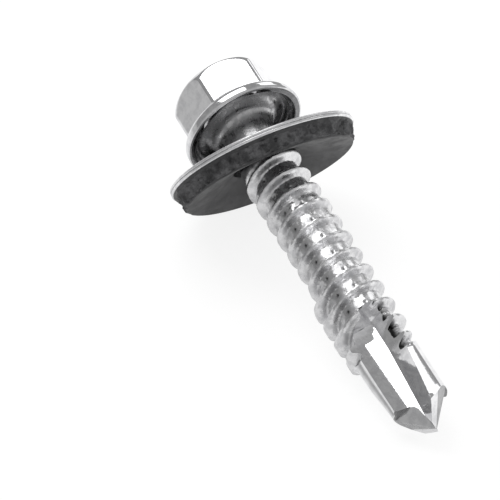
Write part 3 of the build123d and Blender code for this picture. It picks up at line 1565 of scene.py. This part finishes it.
@dataclass(frozen=True)
class Studio:
    """Floor, lamps, world and camera.

    The floor glows for mirrored rays only: on the left, on the right and in front on the right.
    """

    target: tuple[float, float, float] = (-0.00778, -0.00230, 0.0)
    towards_camera: tuple[float, float] = (0.883, -0.469)
    elevation: float = 42.25
    distance: float = 0.2995
    roll: float = 0.816
    lens: float = 264.2
    sensor: float = 36.0
    floor_size: float = 1.2
    floor_grey: float = 0.5
    page_grey: float = 0.26
    page_glow: float = 0.84
    glow: float = 0.12
    glow_left: float = 0.42
    glow_right: float = 0.2
    glow_corner: float = 0.1
    sky: float = 0.39
    sky_side: float = 0.03
    sky_front: float = 0.3
    panels: tuple[Panel, ...] = (
        Panel("top panel", (-0.195, -0.048, 0.35), (0.25, 0.3), 0.6),
        Panel("side panel", (-0.157, 0.258, 0.178), (0.17, 0.14), 0.085),
    )

    def camera(self) -> None:
        """Make the camera and use it for the scene."""
        rise = math.radians(self.elevation)
        level = Vector((*self.towards_camera, 0.0)).normalized()
        back = level * math.cos(rise) + Vector((0.0, 0.0, math.sin(rise)))
        right = Vector((0.0, 0.0, 1.0)).cross(back).normalized()
        up = back.cross(right)
        tilt = math.radians(self.roll)
        right, up = (
            right * math.cos(tilt) + up * math.sin(tilt),
            up * math.cos(tilt) - right * math.sin(tilt),
        )
        data = bpy.data.cameras.new("camera")
        data.lens = self.lens
        data.sensor_width = self.sensor
        data.clip_start = 0.01
        data.clip_end = 5.0
        camera = bpy.data.objects.new("camera", data)
        turn = Matrix((right, up, back)).transposed().to_4x4()
        camera.matrix_world = Matrix.Translation(Vector(self.target) + back * self.distance) @ turn
        bpy.context.scene.collection.objects.link(camera)
        bpy.context.scene.camera = camera

    def floor_material(self) -> bpy.types.Material:
        """Pale for the camera, grey for other rays and glowing by place for mirrored ones.

        Returns:
            The material.
        """
        material = bpy.data.materials.new("white floor")
        material.use_nodes = True
        graph = Graph(material.node_tree)
        path = graph.node("ShaderNodeLightPath")
        place = graph.node("ShaderNodeTexCoord").outputs["Object"]
        split = graph.filled(graph.node("ShaderNodeSeparateXYZ"), Vector=place)
        left = graph.ramp(split.outputs["Y"], -0.05, -0.01)
        right = graph.ramp(split.outputs["Y"], 0.002, 0.013)
        front = graph.ramp(split.outputs["X"], 0.008, 0.018)
        level = graph.maths("MULTIPLY_ADD", left, self.glow_left, self.glow)
        level = graph.maths("MULTIPLY_ADD", right, self.glow_right, level)
        corner = graph.maths("MULTIPLY", right, front)
        level = graph.maths("MULTIPLY_ADD", corner, self.glow_corner, level)
        level = graph.maths("MULTIPLY", level, path.outputs["Is Glossy Ray"])

        sides = []
        for shade_of_grey, strength in ((self.floor_grey, level), (self.page_grey, self.page_glow)):
            diffuse = graph.filled(graph.node("ShaderNodeBsdfDiffuse"), Color=grey(shade_of_grey))
            light = graph.filled(graph.node("ShaderNodeEmission"), Strength=strength)
            both = graph.node("ShaderNodeAddShader")
            graph.link(diffuse.outputs[0], both.inputs[0])
            graph.link(light.outputs[0], both.inputs[1])
            sides.append(both.outputs[0])
        chosen = graph.node("ShaderNodeMixShader")
        for source, target in zip((path.outputs["Is Camera Ray"], *sides), chosen.inputs):
            graph.link(source, target)
        graph.filled(graph.node("ShaderNodeOutputMaterial"), Surface=chosen.outputs[0])
        return material

    def floor(self) -> None:
        """Make the pale floor, white for the camera and soft in its shadows."""
        half = self.floor_size / 2
        mesh = bpy.data.meshes.new("floor")
        square = [(-half, -half, 0.0), (half, -half, 0.0), (half, half, 0.0), (-half, half, 0.0)]
        mesh.from_pydata(square, [], [(0, 1, 2, 3)])
        mesh.materials.append(self.floor_material())
        floor = linked(mesh)

    def world(self) -> None:
        """Make the surroundings: grey, a little lighter towards one side and darker at the back."""
        world = bpy.data.worlds.new("studio")
        bpy.context.scene.world = world
        world.use_nodes = True
        graph = Graph(world.node_tree)
        place = graph.node("ShaderNodeTexCoord").outputs["Generated"]
        split = graph.filled(graph.node("ShaderNodeSeparateXYZ"), Vector=place)
        side = graph.ramp(split.outputs["Y"], -0.9, 0.9)
        front = graph.ramp(split.outputs["X"], -0.6, 0.8)
        level = graph.maths("MULTIPLY_ADD", side, self.sky_side, self.sky)
        level = graph.maths("MULTIPLY_ADD", front, self.sky_front, level)
        direct = graph.node("ShaderNodeLightPath").outputs["Is Camera Ray"]
        seen = graph.node("ShaderNodeMix", data_type="FLOAT")
        strength = graph.filled(seen, Factor=direct, A=level, B=1.0).outputs["Result"]
        background = graph.filled(graph.node("ShaderNodeBackground"), Strength=strength)
        graph.filled(graph.node("ShaderNodeOutputWorld"), Surface=background.outputs[0])

    def build(self) -> None:
        """Set the whole stage."""
        self.camera()
        self.floor()
        for panel in self.panels:
            panel.build()
        self.world()
        bpy.context.scene.view_settings.view_transform = "Standard"


# ---------------------------------------------------------------------------------------------
# Assembly
# ---------------------------------------------------------------------------------------------


def place(piece: Piece, body: Body, node: Node, slot: Slot) -> None:
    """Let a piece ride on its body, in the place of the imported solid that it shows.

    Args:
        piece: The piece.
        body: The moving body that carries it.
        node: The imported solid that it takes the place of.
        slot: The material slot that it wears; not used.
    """
    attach(piece, body.value)
    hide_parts(node.value)


def corners(box: object) -> list[list[float]]:
    return [[float(value) for value in corner] for corner in box]


def main() -> None:
    """Build every piece and the stage around them."""
    logging.basicConfig(level=logging.INFO, format="%(name)s: %(message)s")
    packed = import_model()
    effects = SurfaceEffects.build()
    screw = Screw.from_record(packed["record"])
    place(screw.build(effects), Body.SCREW, Node.SCREW, Slot.SCREW)
    washer = BondedWasher.from_joint(packed["joints"][0])
    place(washer.metal(effects), Body.WASHER, Node.METAL, Slot.METAL)
    place(washer.seal(effects), Body.WASHER, Node.SEAL, Slot.SEAL)
    Studio().build()
    LOG.info("done")


if __name__ == "__main__":
    main()
